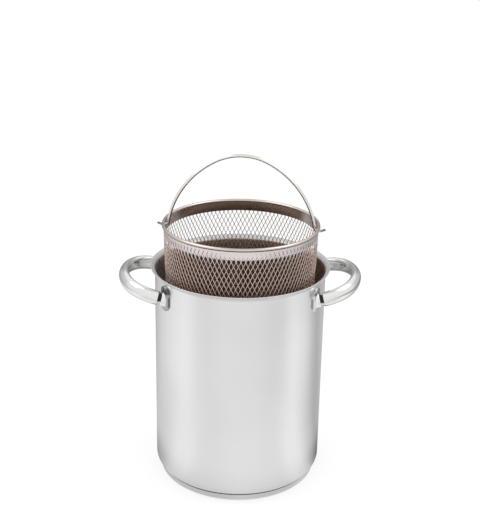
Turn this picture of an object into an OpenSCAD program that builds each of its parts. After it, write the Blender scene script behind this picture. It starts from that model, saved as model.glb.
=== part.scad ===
// Tall pasta pot with a lift-out mesh strainer basket, shown with the basket raised.
// Millimetres, +Z up. The origin is the middle of the base, on the surface the pot stands on.
// The two loop handles lie along X, and the viewer stands on the -Y side.

/* [Pot] */
// Outside diameter of the straight wall
pot_d = 161.6; // [150:0.2:240]
// Height from the floor to the top of the lip
pot_h = 212.4; // [180:0.2:260]
// Thickness of the drawn sheet
pot_wall = 0.8; // [0.6:0.1:1.5]
// Outside radius of the bottom corner
corner_r = 10; // [7:0.5:16]
// Outside radius of the bend under the lip
lip_bend_r = 3.8; // [2:0.2:6]
// Straight stretch of the lip past its bend
lip_flat = 1.9; // [0.6:0.1:4]
// Slope of the lip above the horizontal, in degrees
lip_slope = 25; // [10:1:40]

/* [Base] */
// How far the steel cap under the pot stands in from the wall
cap_inset = 4.6; // [2:0.1:9]
// Thickness of the cap's sheet
cap_wall = 0.6; // [0.4:0.1:1]
// Outside radius of the cap's lower edge
cap_edge_r = 1.8; // [1.2:0.1:3]
// Open seam between the cap's edge and the pot's corner
seam_gap = 0.5; // [0.3:0.1:2]
// Thickness of the aluminium disc inside the cap
core_t = 4.8; // [3:0.1:6]
// Gap round the aluminium disc
core_gap = 0.2; // [0.1:0.1:1]

/* [Handles] */
// How far the middle of the loop's feet lies below the top of the lip
handle_drop = 20.1; // [19.1:0.1:80]
// Distance from the pot's middle to the middle of each leg
leg_y = 42.4; // [35:0.2:43.6]
// Length of the loop from the wall between its legs to the middle of its nose
handle_reach = 42.4; // [42:0.2:60]
// Bend radius at the loop's corners, to the middle of the tube
handle_bend_r = 31.5; // [20:0.5:32]
// Half the angle over which the nose curves gently, in degrees
nose_angle = 30; // [15:1:34]
// Upward tilt of the loop, in degrees
handle_tilt = 14; // [0:0.5:16]
// Width of the oval tube, in the plane of the loop
tube_w = 9.4; // [8:0.1:12]
// Height of the oval tube
tube_h = 13.8; // [10:0.1:16]
// Wall of the hollow tube
tube_wall = 1; // [0.8:0.1:1.6]

/* [Handle feet] */
// Width of the oval pad on the wall
pad_w = 13; // [12.6:0.1:16]
// Height of the oval pad
pad_h = 24.6; // [20:0.1:25]
// Thickness of the pad
pad_t = 2.2; // [1.5:0.1:3.5]
// How far the middle of the pad lies above the middle of the leg
pad_lift = 1.5; // [0:0.1:2.5]
// Length of the polished boss, from the wall along the leg
boss_l = 4.4; // [4:0.1:6]
// How much larger than the tube the boss is all round
boss_step = 0.3; // [0.1:0.1:1.5]
// Length of the narrow neck between boss and tube
neck_l = 3; // [2:0.1:4]
// How much of the tube's end face the neck bears on, all round
neck_seat = 0.5; // [0.1:0.1:0.7]
// Length of the spigot inside the tube
spigot_l = 4; // [2:0.5:4]
// Gap round the spigot in the tube
spigot_gap = 0.15; // [0.1:0.05:0.3]

/* [Basket] */
// How far the seated basket's rim lies below the pot's lip
rim_drop = 7.9; // [4:0.1:40]
// Gap between the rim wire and the pot's wall
rim_gap = 6; // [5:0.1:12]
// Diameter of the rim wire
rim_wire_d = 3.2; // [2.4:0.1:4]
// Height of the solid band under the rim wire
band_h = 8; // [6.5:0.1:14]
// Thickness of the band
band_t = 0.5; // [0.4:0.1:0.9]
// Thickness of the mesh sheet
mesh_t = 0.7; // [0.5:0.1:1]
// How far the wall draws in from top to bottom
wall_taper = 5.4; // [0:0.1:8]
// Height of the strip round the foot
foot_h = 7; // [5:0.5:12]
// Thickness of the strip round the foot
foot_t = 0.6; // [0.4:0.1:1]
// Width of the foot's inward flange, which carries the floor
flange_w = 5; // [4:0.5:8]

/* [Mesh] */
// Number of diamonds round the wall
mesh_cols = 30; // [20:2:36]
// Number of staggered rows of diamonds up the wall
mesh_rows = 12; // [7:1:15]
// Width of a strand in the wall and the floor
strand_w = 1.6; // [1:0.1:2.4]
// Solid edge of the wall's mesh at its top and bottom
mesh_edge = 2; // [1:0.1:4]
// Width of a diamond in the floor, from middle to middle of its strands
floor_pitch_x = 15; // [10:0.5:24]
// Length of a diamond in the floor
floor_pitch_y = 26; // [16:0.5:40]

/* [Bail] */
// Diameter of the bail's wire
bail_wire_d = 3; // [2.4:0.1:3.2]
// How far the side arcs start below the pivots
bail_low = 11.3; // [4:0.1:14]
// Angle at which the gentle side arcs meet the top arc, in degrees
bail_side_angle = 63; // [56:1:68]
// Turn of the pivots round the pot's axis, in degrees
bail_turn = -6; // [-30:1:30]
// Bend radius, to the middle of the wire, where the legs turn outward
bail_bend_r = 2.7; // [2.2:0.1:3.4]
// Upward bend of the tips, in degrees
tip_bend = 20; // [5:1:30]

/* [Fits] */
// Gap round the bail's wire in the band's pivot holes
pivot_clearance = 0.1; // [0.05:0.01:0.1]
// Gap between the bail's legs and the band
leg_gap = 0.4; // [0.3:0.1:1.5]
// Gap between the bail's wire and the rim wire above it
pivot_gap = 0.5; // [0.3:0.1:1]
// Gap between the bail's tips and the pot's wall
tip_gap = 0.5; // [0.4:0.1:1.5]
// Gap between the mesh and the solid strips it is joined to
strip_gap = 0.2; // [0.15:0.05:0.3]
// Gap under the seated basket
seat_gap = 0.3; // [0.2:0.1:1]
// How far the basket is lifted from its seat here
lift_shown = 49.2; // [0:0.1:80]

/* [Hidden] */

// Facets of round surfaces
round_fn = 96;
wire_fn = 24;
// Sides of the bail's wire
wire_sides = 16;
// Sides of the handles' tube
tube_sides = 20;
// A cutter's overrun past what it cuts
eps = 1;
// Overlap that makes one outline of two that meet
weld = 0.05;

// Pot
pot_r = pot_d / 2;
inner_r = pot_r - pot_wall;
pot_z = cap_wall + core_t;
floor_z = pot_z + pot_wall;
lip_mid_r = lip_bend_r + pot_wall / 2;
lip_rise = lip_mid_r * cos(lip_slope) + lip_flat * sin(lip_slope) + pot_wall / 2;
lip_z = pot_h - lip_rise;
cap_r = pot_r - cap_inset;

// Handles
handle_z = pot_h - handle_drop;
wall_x = sqrt(pot_r * pot_r - leg_y * leg_y);
leg_azimuth = atan2(leg_y, wall_x);
nose_r = handle_bend_r + (leg_y - handle_bend_r) / sin(nose_angle);
nose_x = handle_reach - nose_r;
corner_x = nose_x + (nose_r - handle_bend_r) * cos(nose_angle);
tube_x = boss_l + neck_l;

// Basket, with its own zero at the underside of its foot
basket_h = pot_h - rim_drop - floor_z - seat_gap;
basket_z = floor_z + seat_gap + lift_shown;
rim_r = inner_r - rim_gap - rim_wire_d / 2;
rim_z = basket_h - rim_wire_d / 2;
mesh_top_z = rim_z - rim_wire_d / 2 - strip_gap;
mesh_bottom_z = foot_t + strip_gap;
mesh_top_r = rim_r;
band_inset = mesh_t + strip_gap;
band_top_z = rim_z - rim_wire_d / 4;
band_bottom_z = mesh_top_z - band_h;

// Bail
pivot_z = rim_z - rim_wire_d / 2 - pivot_gap - bail_wire_d / 2;
band_inner_r = wall_r(pivot_z - bail_wire_d / 2) - band_inset - band_t;
leg_x = band_inner_r - leg_gap - bail_wire_d / 2;
// The arch is as high as it is wide, so that it folds flat inside the band
top_k = 1 / cos(bail_side_angle) - tan(bail_side_angle);
arch_a = leg_x - (bail_low + leg_x) / top_k;
arch_b = 1 / (top_k * top_k) - 1;
side_r = (-arch_a / top_k + sqrt(pow(arch_a / top_k, 2) - arch_b * (pow(arch_a, 2) + pow(bail_low, 2))))
         / arch_b;
side_x = sqrt(side_r * side_r - bail_low * bail_low) - leg_x;
top_r = side_r - side_x / cos(bail_side_angle);
top_z = side_x * tan(bail_side_angle) - bail_low;
leg_angle = asin((bail_low + bail_bend_r) / (side_r + bail_bend_r));
leg_bend_x = (side_r + bail_bend_r) * cos(leg_angle) - side_x;
tip_bend_x = rim_r + rim_wire_d / 2 + pivot_gap;
tip_start_x = tip_bend_x + bail_bend_r * sin(tip_bend);
tip_start_z = bail_bend_r * (1 - cos(tip_bend));
tip_x = inner_r - tip_gap - bail_wire_d / 2 * sin(tip_bend);

// Height of the pot's outside corner at radius r
function corner_z(r) =
    r <= pot_r - corner_r ? pot_z
    : pot_z + corner_r - sqrt(corner_r * corner_r - pow(r - pot_r + corner_r, 2));

// Outside radius of the basket's wall at height z
function wall_r(z) =
    mesh_top_r - wall_taper * (mesh_top_z - z) / (mesh_top_z - mesh_bottom_z);

// Half of a cup's outline: radius r, from height z0 up to z1, with a rounded lower corner
module cup_outline(r, z0, z1, bend) {
    translate([0, z0 + bend]) square([r, z1 - z0 - bend]);
    translate([0, z0]) square([r - bend, z1 - z0]);
    translate([r - bend, z0 + bend]) circle(bend, $fn = round_fn);
}

module cup_wall(r, z0, z1, bend, t) {
    difference() {
        cup_outline(r, z0, z1, bend);
        cup_outline(r - t, z0 + t, z1 + eps, bend - t);
    }
}

// The lip's outline: a bend outward, a short straight stretch and a ground round edge
module lip_outline() {
    translate([pot_r + lip_bend_r, lip_z]) {
        intersection() {
            difference() {
                circle(lip_bend_r + pot_wall, $fn = round_fn);
                circle(lip_bend_r, $fn = round_fn);
            }
            reach = 2 * (lip_bend_r + pot_wall);
            polygon([[0, 0], [-reach, 0], [-reach, reach],
                     [-reach * sin(lip_slope), reach * cos(lip_slope)]]);
        }
        rotate(lip_slope) translate([0, lip_bend_r]) {
            translate([-weld, 0]) square([lip_flat + weld, pot_wall]);
            translate([lip_flat, pot_wall / 2]) circle(pot_wall / 2, $fn = round_fn);
        }
    }
}

module pot_body() color([0.80, 0.80, 0.80])
    rotate_extrude($fn = round_fn) {
        cup_wall(pot_r, pot_z, lip_z + weld, corner_r, pot_wall);
        lip_outline();
    }

module base_core() color([0.75, 0.76, 0.78])
    rotate_extrude($fn = round_fn)
        intersection() {
            cup_outline(cap_r - cap_wall - core_gap, cap_wall, pot_z + cap_edge_r, cap_edge_r);
            square([pot_r, pot_z]);
        }

// The cap's edge stops under the pot's corner, which leaves the dark seam round the base
module base_cap() color([0.70, 0.70, 0.71])
    rotate_extrude($fn = round_fn)
        cup_wall(cap_r, 0, corner_z(cap_r - cap_wall) - seam_gap, cap_edge_r, cap_wall);

// A rectangle with round corners, round the origin
module rounded(w, h, r) {
    square([w - 2 * r, h], center = true);
    square([w, h - 2 * r], center = true);
    for (x = [-1, 1], y = [-1, 1])
        translate([x * (w / 2 - r), y * (h / 2 - r)]) circle(r, $fn = wire_fn);
}

// Puts what is drawn along +X, from the wall between the legs, onto the right side of the pot
module handle_frame()
    translate([wall_x, 0, handle_z]) rotate([0, -handle_tilt, 0]) children();

// A path is a list of stations: X, Y and the direction in which the section's own X points
function arc_stations(x, y, r, from, to, steps, flip = 0) =
    [for (i = [0 : steps]) let (a = from + (to - from) * i / steps)
        [x + r * cos(a), y + r * sin(a), a - flip]];
function tail(q) = [for (i = [1 : len(q) - 1]) q[i]];
function swept_points(path, section) = [for (s = path, p = section)
    [s.x + p.x * cos(s.z), s.y + p.x * sin(s.z), p.y]];
function fan(q) = [for (i = [1 : len(q) - 2]) [q[0], q[i], q[i + 1]]];
function reversed(q) = [for (i = [len(q) - 1 : -1 : 0]) q[i]];

// The long faces of a swept section of n points, the first of them numbered at start
function swept_sides(stations, n, start = 0) = [for (k = [0 : stations - 2], i = [0 : n - 1])
    let (p = start + k * n + i, q = start + k * n + (i + 1) % n) each fan([p, q, q + n, p + n])];

function oval(w, h, sides = tube_sides) = [for (i = [0 : sides - 1])
    [w / 2 * cos(360 * i / sides), h / 2 * sin(360 * i / sides)]];

// The loop in its own plane, from the front leg's end round to the back leg's
loop_arc_y = leg_y - handle_bend_r;
loop_path = concat(
    [[tube_x, -leg_y, -90]],
    arc_stations(corner_x, -loop_arc_y, handle_bend_r, -90, -nose_angle, 8),
    tail(arc_stations(nose_x, 0, nose_r, -nose_angle, nose_angle, 8)),
    tail(arc_stations(corner_x, loop_arc_y, handle_bend_r, nose_angle, 90, 8)),
    [[tube_x, leg_y, 90]]);

// The tube's faces: its outside, its bore turned inside out, and a ring at each end
module handle() color([0.86, 0.86, 0.86]) handle_frame() {
    n = tube_sides;
    count = len(loop_path);
    bore = n * count;
    last = n * (count - 1);
    polyhedron(
        concat(swept_points(loop_path, oval(tube_w, tube_h)),
               swept_points(loop_path, oval(bore_w(), bore_h()))),
        concat(swept_sides(count, n),
               [for (f = swept_sides(count, n, bore)) reversed(f)],
               [for (i = [0 : n - 1]) let (j = (i + 1) % n) each fan([i, bore + i, bore + j, j])],
               [for (i = [0 : n - 1]) let (p = last + i, q = last + (i + 1) % n)
                   each fan([p, q, bore + q, bore + p])]));
}

// A foot of the right handle, on its +Y leg
module foot() color([0.88, 0.88, 0.87]) {
    rotate([0, 0, leg_azimuth]) intersection() {
        difference() {
            cylinder(r = pot_r + pad_t, h = pot_h, $fn = round_fn);
            translate([0, 0, -eps]) cylinder(r = pot_r, h = pot_h + 2 * eps, $fn = round_fn);
        }
        translate([0, 0, handle_z + pad_lift]) rotate([90, 0, 90])
            linear_extrude(2 * pot_r) rounded(pad_w, pad_h, pad_w / 2 - 0.01);
    }
    difference() {
        handle_frame() translate([0, leg_y, 0]) rotate([90, 0, 90]) {
            translate([0, 0, -tube_w]) linear_extrude(tube_w + boss_l)
                polygon(oval(tube_w + 2 * boss_step, tube_h + 2 * boss_step, 2 * tube_sides));
            linear_extrude(tube_x) polygon(oval(bore_w() + 2 * neck_seat, bore_h() + 2 * neck_seat));
            linear_extrude(tube_x + spigot_l)
                polygon(oval(bore_w() - 2 * spigot_gap, bore_h() - 2 * spigot_gap));
        }
        cylinder(r = pot_r, h = pot_h, $fn = round_fn);
    }
}

function bore_w() = tube_w - 2 * tube_wall;
function bore_h() = tube_h - 2 * tube_wall;

module handle_right() handle();
module handle_left() mirror([1, 0, 0]) handle();
module foot_right_back() foot();
module foot_right_front() mirror([0, 1, 0]) foot();
module foot_left_back() mirror([1, 0, 0]) foot();
module foot_left_front() mirror([1, 0, 0]) mirror([0, 1, 0]) foot();

module basket_place() translate([0, 0, basket_z]) children();

module rim_wire_outline() translate([rim_r, rim_z]) circle(d = rim_wire_d, $fn = wire_fn);

module basket_rim() color([0.80, 0.76, 0.72]) basket_place()
    rotate_extrude($fn = round_fn) rim_wire_outline();

// The pivot's line through the basket, with the bail's plane turned to X
module pivot_frame() translate([0, 0, pivot_z]) rotate([0, 0, bail_turn]) children();

module pivot_holes() pivot_frame() rotate([0, 90, 0])
    cylinder(d = bail_wire_d + 2 * pivot_clearance, h = 2 * pot_r, center = true, $fn = wire_fn);

// The band is trimmed to the rim wire, which is welded along its top edge
module basket_band() color([0.72, 0.68, 0.64]) basket_place() difference() {
    rotate_extrude($fn = round_fn) difference() {
        top = wall_r(band_top_z) - band_inset;
        bottom = wall_r(band_bottom_z) - band_inset;
        polygon([[top - band_t, band_top_z], [top, band_top_z],
                 [bottom, band_bottom_z], [bottom - band_t, band_bottom_z]]);
        rim_wire_outline();
    }
    pivot_holes();
}

// The mesh sheet as one lattice. A diamond has four corners, 0 left, 1 low, 2 right and 3 high,
// and each row is staggered by half a diamond. Points come in two layers, outside then inside.
mesh_z = [for (k = [0 : mesh_rows - 1])
    mesh_bottom_z + mesh_edge + (k + 1) * (mesh_top_z - mesh_bottom_z - 2 * mesh_edge) / (mesh_rows + 1)];
mesh_step_z = (mesh_top_z - mesh_bottom_z - 2 * mesh_edge) / (mesh_rows + 1);
mesh_step_a = 180 / mesh_cols;
ring_start = 4 * mesh_cols * mesh_rows;
layer_size = ring_start + 4 * mesh_cols;

// Half the strand's width, measured along the wall's height and round it, at radius r
function strand_up(r) = let (w = PI * r / mesh_cols) strand_w / 2 / sin(atan2(w, mesh_step_z));
function strand_side(r) = let (w = PI * r / mesh_cols)
    strand_w / 2 / cos(atan2(w, mesh_step_z)) / r * 180 / PI;

function wall_point(a, z, layer) = let (r = wall_r(z) - layer * mesh_t) [r * cos(a), r * sin(a), z];

function corner_point(k, c, j, layer) =
    let (a = (2 * c + k % 2) * mesh_step_a,
         z = mesh_z[k],
         half_a = mesh_step_a - strand_side(wall_r(z)),
         half_z = mesh_step_z - strand_up(wall_r(z)))
    wall_point(a + [-1, 0, 1, 0][j] * half_a, z + [0, -1, 0, 1][j] * half_z, layer);

mesh_points = [for (layer = [0, 1]) each concat(
    [for (k = [0 : mesh_rows - 1], c = [0 : mesh_cols - 1], j = [0 : 3]) corner_point(k, c, j, layer)],
    [for (i = [0 : 2 * mesh_cols - 1]) wall_point(i * mesh_step_a, mesh_bottom_z, layer)],
    [for (i = [0 : 2 * mesh_cols - 1]) wall_point(i * mesh_step_a, mesh_top_z, layer)])];

function at(k, c, j) = 4 * (k * mesh_cols + c % mesh_cols) + j;
function low_ring(i) = ring_start + i % (2 * mesh_cols);
function high_ring(i) = low_ring(i) + 2 * mesh_cols;
function inside(q) = [for (i = [len(q) - 1 : -1 : 0]) q[i] + layer_size];

// The sheet's face between the diamonds: the crossings, the strands and the two solid edges
last = mesh_rows - 1;
sheet = [for (c = [0 : mesh_cols - 1]) each concat(
    [for (k = [0 : last]) let (n = c + k % 2) each fan(concat(
        [at(k, c, 2)], k < last ? [at(k + 1, n, 1)] : [],
        [at(k, c + 1, 0)], k > 0 ? [at(k - 1, n, 3)] : []))],
    [for (k = [0 : last - 1]) let (n = c + k % 2) each concat(
        fan([at(k + 1, n, 1), at(k + 1, n, 2), at(k, c + 1, 3), at(k, c + 1, 0)]),
        fan([at(k, c, 2), at(k, c, 3), at(k + 1, n, 0), at(k + 1, n, 1)]))],
    let (m = low_ring(2 * c + 1)) [
        [low_ring(2 * c), at(0, c, 1), m], [at(0, c, 1), at(0, c, 2), m],
        [at(0, c, 2), at(0, c + 1, 0), m], [at(0, c + 1, 0), at(0, c + 1, 1), m],
        [at(0, c + 1, 1), low_ring(2 * c + 2), m]],
    let (u = 2 * c + last % 2, m = high_ring(u + 1)) [
        [at(last, c, 3), high_ring(u), m], [at(last, c, 2), at(last, c, 3), m],
        [at(last, c + 1, 0), at(last, c, 2), m], [at(last, c + 1, 3), at(last, c + 1, 0), m],
        [high_ring(u + 2), at(last, c + 1, 3), m]])];

// The cut faces inside each diamond and at the sheet's two edges
diamond_sides = [for (k = [0 : last], c = [0 : mesh_cols - 1], j = [0 : 3])
    let (p = at(k, c, j), q = at(k, c, (j + 1) % 4)) each fan([q, p, p + layer_size, q + layer_size])];
edge_sides = [for (i = [0 : 2 * mesh_cols - 1]) each concat(
    let (p = low_ring(i), q = low_ring(i + 1)) fan([p, q, q + layer_size, p + layer_size]),
    let (p = high_ring(i), q = high_ring(i + 1)) fan([q, p, p + layer_size, q + layer_size]))];

module basket_wall() color([0.74, 0.68, 0.65]) basket_place() difference() {
    polyhedron(mesh_points, concat(sheet, [for (f = sheet) inside(f)], diamond_sides, edge_sides));
    pivot_holes();
}

// A flat sheet of the same diamonds, inside the wall's lower edge and on the foot's flange
floor_sheet_r = wall_r(mesh_bottom_z) - mesh_t - strip_gap;
floor_open_r = floor_sheet_r - flange_w;

module basket_floor() color([0.70, 0.65, 0.62]) basket_place()
    translate([0, 0, foot_t]) linear_extrude(mesh_t) difference() {
        circle(floor_sheet_r, $fn = round_fn);
        lean = atan2(floor_pitch_x, floor_pitch_y);
        half_x = floor_pitch_x / 2 - strand_w / 2 / cos(lean);
        half_y = floor_pitch_y / 2 - strand_w / 2 / sin(lean);
        nx = ceil(floor_open_r / floor_pitch_x);
        ny = ceil(2 * floor_open_r / floor_pitch_y);
        for (j = [-ny : ny], i = [-nx - 1 : nx])
            let (x = (i + (abs(j) % 2) / 2) * floor_pitch_x, y = j * floor_pitch_y / 2)
            if (norm([abs(x) + half_x, y]) < floor_open_r && norm([x, abs(y) + half_y]) < floor_open_r)
                translate([x, y]) polygon([[-half_x, 0], [0, -half_y], [half_x, 0], [0, half_y]]);
    }

// The strip round the foot: an upright band outside the wall and a flange under the floor
module basket_foot() color([0.74, 0.70, 0.66]) basket_place()
    rotate_extrude($fn = round_fn) {
        low_r = wall_r(0) + strip_gap;
        high_r = wall_r(foot_h) + strip_gap;
        polygon([[floor_open_r, 0], [low_r + foot_t, 0], [high_r + foot_t, foot_h], [high_r, foot_h],
                 [low_r, foot_t], [floor_open_r, foot_t]]);
    }

// The bail in its own plane, from the tip on the +X side up its leg and over to the other tip
bail_leg_path = concat(
    [[tip_x, tip_start_z + (tip_x - tip_start_x) * tan(tip_bend), 90 + tip_bend]],
    arc_stations(tip_bend_x, bail_bend_r, bail_bend_r, 270 + tip_bend, 270, 2, 180),
    arc_stations(leg_bend_x, bail_bend_r, bail_bend_r, 270, 180 + leg_angle, 6, 180),
    tail(arc_stations(-side_x, -bail_low, side_r, leg_angle, bail_side_angle, 12)));
bail_path = concat(
    bail_leg_path,
    tail(arc_stations(0, top_z, top_r, bail_side_angle, 180 - bail_side_angle, 10)),
    [for (s = tail(reversed(bail_leg_path))) [-s.x, s.y, 180 - s.z]]);

module bail() color([0.76, 0.72, 0.70]) basket_place() pivot_frame() rotate([90, 0, 0]) {
    n = wire_sides;
    count = len(bail_path);
    wire = [for (i = [0 : n - 1]) bail_wire_d / 2 * [cos(360 * i / n), sin(360 * i / n)]];
    polyhedron(
        swept_points(bail_path, wire),
        concat(swept_sides(count, n),
               fan([for (i = [n - 1 : -1 : 0]) i]),
               fan([for (i = [0 : n - 1]) n * (count - 1) + i])));
}

pot_body();
base_core();
base_cap();
handle_left();
handle_right();
foot_left_front();
foot_left_back();
foot_right_front();
foot_right_back();
basket_rim();
basket_band();
basket_wall();
basket_floor();
basket_foot();
bail();
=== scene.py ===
import math

import bmesh
import bpy
from mathutils import Matrix, Vector, geometry


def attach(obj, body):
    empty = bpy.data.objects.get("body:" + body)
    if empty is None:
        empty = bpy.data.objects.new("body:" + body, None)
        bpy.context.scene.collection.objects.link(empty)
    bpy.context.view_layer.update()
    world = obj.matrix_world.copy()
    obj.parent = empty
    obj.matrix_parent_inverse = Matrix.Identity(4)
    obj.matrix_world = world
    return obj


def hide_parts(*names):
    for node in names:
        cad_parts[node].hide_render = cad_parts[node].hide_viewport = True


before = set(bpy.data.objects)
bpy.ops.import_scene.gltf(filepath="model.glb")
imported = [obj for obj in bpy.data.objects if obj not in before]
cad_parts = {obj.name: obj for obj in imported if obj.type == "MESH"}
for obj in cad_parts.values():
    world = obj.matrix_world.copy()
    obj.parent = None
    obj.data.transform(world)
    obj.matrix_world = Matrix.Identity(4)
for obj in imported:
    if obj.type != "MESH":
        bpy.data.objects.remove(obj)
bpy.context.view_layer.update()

# Sizes in millimetres and degrees, as in the part's source
POT_R, POT_H, POT_WALL = 80.8, 212.4, 0.8
POT_UNDER, CORNER_R = 5.4, 10.0
LIP_BEND_R, LIP_FLAT, LIP_SLOPE = 3.8, 1.9, 25.0
CAP_R, CAP_WALL, CAP_EDGE_R, SEAM_GAP = 76.2, 0.6, 1.8, 0.5
HANDLE_Z, LEG_Y, HANDLE_REACH, HANDLE_BEND_R = 192.3, 42.4, 42.4, 31.5
NOSE_ANGLE, HANDLE_TILT = 30.0, 14.0
TUBE_W, TUBE_H, TUBE_WALL = 9.4, 13.8, 1.0
PAD_W, PAD_H, PAD_LIFT = 13.0, 24.6, 1.5
BOSS_L, BOSS_STEP, NECK_L, NECK_SEAT = 4.4, 0.3, 3.0, 0.5
BASKET_Z = 55.7
RIM_R, RIM_Z, RIM_WIRE_R = 72.4, 196.4, 1.6
MESH_TOP_Z, MESH_BOTTOM_Z, MESH_T, WALL_TAPER = 194.6, 0.8, 0.7, 5.4
STRIP_GAP, BAND_T = 0.2, 0.5
FOOT_H, FOOT_T, FLANGE_W = 7.0, 0.6, 5.0
BAIL_WIRE_R, BAIL_LOW, BAIL_SIDE_ANGLE, BAIL_TURN = 1.5, 11.3, 63.0, -6.0
BAIL_BEND_R, TIP_BEND = 2.7, 20.0
PIVOT_GAP, LEG_GAP, TIP_GAP = 0.5, 0.4, 0.5

# The drawn feet: how far the pad's face stands out from the wall, and how deep the pad and the block go in
PAD_OUT, PAD_SUNK, BOSS_SUNK = 2.2, 0.5, 2.5

# The real mesh, which is finer than the solid that collides, between solid edges. It is turned by under a
# degree, so that its near and far diamonds don't line up at the basket's two sides.
MESH_COLUMNS, MESH_ROWS, MESH_TURN, MESH_EDGE = 106, 43, 0.9, 1.0
STRAND_W, STRAND_T, STRAND_TWIST = 0.6, 0.3, 0.18
STRAND_CHAMFER, CHAMFER_DEPTH = 0.08, 0.1
FLOOR_PITCH_X, FLOOR_PITCH_Y = 4.3, 8.7

# The bail's tips are drawn slimmer than its wire, and get so over a stretch outside the rim
TIP_SLIMMER, TIP_STRETCH = 0.4, 3.0

MM = 0.001
ROUND = 256


def sin(degrees):
    return math.sin(math.radians(degrees))


def cos(degrees):
    return math.cos(math.radians(degrees))


# Mesh making. A shape is its points in millimetres and its faces, and piece() turns it to metres.

def piece(name, body, finish, shape, stands_for=(), crease=35.0):
    """A finished piece from a shape, smooth but for edges sharper than crease."""
    points, faces = shape
    mesh = bpy.data.meshes.new(name)
    mesh.from_pydata([Vector(p) * MM for p in points], [], faces)
    bm = bmesh.new()
    bm.from_mesh(mesh)
    bmesh.ops.remove_doubles(bm, verts=bm.verts, dist=1e-7)
    bmesh.ops.recalc_face_normals(bm, faces=bm.faces)
    bm.to_mesh(mesh)
    bm.free()
    mesh.materials.append(finish)
    mesh.shade_smooth()
    mesh.set_sharp_from_angle(angle=math.radians(crease))
    made = bpy.data.objects.new(name, mesh)
    bpy.context.scene.collection.objects.link(made)
    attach(made, body)
    if stands_for:
        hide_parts(*stands_for)
    return made


def arc(x, y, r, start, end, steps):
    """Points of an arc round x, y, with angles in degrees."""
    angles = [start + (end - start) * i / steps for i in range(steps + 1)]
    return [(x + r * cos(a), y + r * sin(a)) for a in angles]


def turned(outline, closed=True, steps=ROUND):
    """A surface of revolution from an outline of radius and height."""
    points, rings = [], []
    for r, z in outline:
        if r < 1e-6:
            rings.append([len(points)] * steps)
            points.append((0, 0, z))
        else:
            rings.append(list(range(len(points), len(points) + steps)))
            points += [(r * cos(360 * i / steps), r * sin(360 * i / steps), z) for i in range(steps)]
    faces = []
    pairs = list(zip(rings, rings[1:] + rings[:1])) if closed else list(zip(rings, rings[1:]))
    for low, high in pairs:
        for i in range(steps):
            j = (i + 1) % steps
            corners = list(dict.fromkeys([low[i], low[j], high[j], high[i]]))
            if len(corners) > 2:
                faces.append(corners)
    return points, faces


def stack(rings):
    """A closed solid through rings of as many points each."""
    n = len(rings[0])
    points = [p for ring in rings for p in ring]
    faces = [list(range(n)), list(range(len(points) - n, len(points)))]
    for k in range(len(rings) - 1):
        for i in range(n):
            j = (i + 1) % n
            faces.append([k * n + i, k * n + j, (k + 1) * n + j, (k + 1) * n + i])
    return points, faces


def rounded(w, h, r, steps=8):
    """A rectangle round the origin with rounded corners, from the corner at +x +y on."""
    corners = []
    for quarter, (sx, sy) in enumerate(((1, 1), (-1, 1), (-1, -1), (1, -1))):
        corners += arc(sx * (w / 2 - r), sy * (h / 2 - r), r, 90 * quarter, 90 * quarter + 90, steps)
    return corners


def oval(w, h, steps=48):
    """An oval round the origin."""
    return [(w / 2 * cos(360 * i / steps), h / 2 * sin(360 * i / steps)) for i in range(steps)]


def inset(section, by):
    """The section drawn in by a distance, measured from its middle along each axis."""
    w, h = max(x for x, y in section), max(y for x, y in section)
    return [(x * (w - by) / w, y * (h - by) / h) for x, y in section]


def swept(path, section):
    """A closed bar along a flat path. A station is x, y, the section's own direction and an inset."""
    return stack([[(x + s * cos(a), y + s * sin(a), t) for s, t in inset(section, by)]
                  for x, y, a, by in path])


def stations(x, y, r, start, end, steps, flip=0):
    """Stations on an arc. flip is 180 where the path bends the other way."""
    return [(px, py, start + (end - start) * i / steps - flip, 0)
            for i, (px, py) in enumerate(arc(x, y, r, start, end, steps))]


def moved(place, points):
    """The points brought to a place, which is a matrix."""
    return [tuple(place @ Vector(p)) for p in points]


def mirrored(points, sx, sy):
    return [(sx * x, sy * y, z) for x, y, z in points]


# Finishes

# Brush lines: how long one keeps its tone and how deep it is, in millimetres, and its share of the tone
LINE_L, LINE_DEPTH, LINE_SHARE = 60.0, 0.000015, 0.1
# How wide the clouds on brushed sheet and the smears on polished steel are: 14 and 45 of them to a metre
CLOUD_W, SMEAR_W = 1000 / 14, 1000 / 45
# A face counts as level while its normal times its distance from the axis comes to less than this
LEVEL = 2.0

# The edges of a painted tone, a height or a radius in millimetres, are four: where it begins, where it is
# full, to where it stays full and where it is gone
EVERY = (0, 0.1, 300, 301)


def above(begins, full):
    """The edges of a painted tone from a place up."""
    return (begins, full) + EVERY[2:]


def below(full, gone):
    """The edges of a painted tone from a place down."""
    return EVERY[:2] + (full, gone)


def linear(hex_code):
    """An sRGB hex colour as the linear colour that the shaders take."""
    channels = [int(hex_code[i:i + 2], 16) / 255 for i in (1, 3, 5)]
    return [c / 12.92 if c <= 0.04045 else ((c + 0.055) / 1.055) ** 2.4 for c in channels] + [1.0]


def add(tree, kind, inputs=None, **settings):
    """Adds a node with its settings. An input is a value, a socket to link from, or a node, which is linked
    from its first output in use."""
    node = tree.nodes.new(kind)
    for name, value in settings.items():
        setattr(node, name, value)
    for name, value in (inputs or {}).items():
        if isinstance(value, bpy.types.Node):
            value = next(socket for socket in value.outputs if socket.enabled)
        if isinstance(value, bpy.types.NodeSocket):
            tree.links.new(value, node.inputs[name])
        else:
            node.inputs[name].default_value = value
    return node


def material(name):
    """A new material and its empty node tree."""
    made = bpy.data.materials.new(name)
    made.use_nodes = True
    made.node_tree.nodes.clear()
    return made, made.node_tree


def from_axis(tree, place):
    """The level line from the pot's axis to a place, and how long it is."""
    line = add(tree, "ShaderNodeVectorMath", {0: place, 1: (1, 1, 0)}, operation="MULTIPLY")
    return line, add(tree, "ShaderNodeVectorMath", {0: line}, operation="LENGTH")


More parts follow.
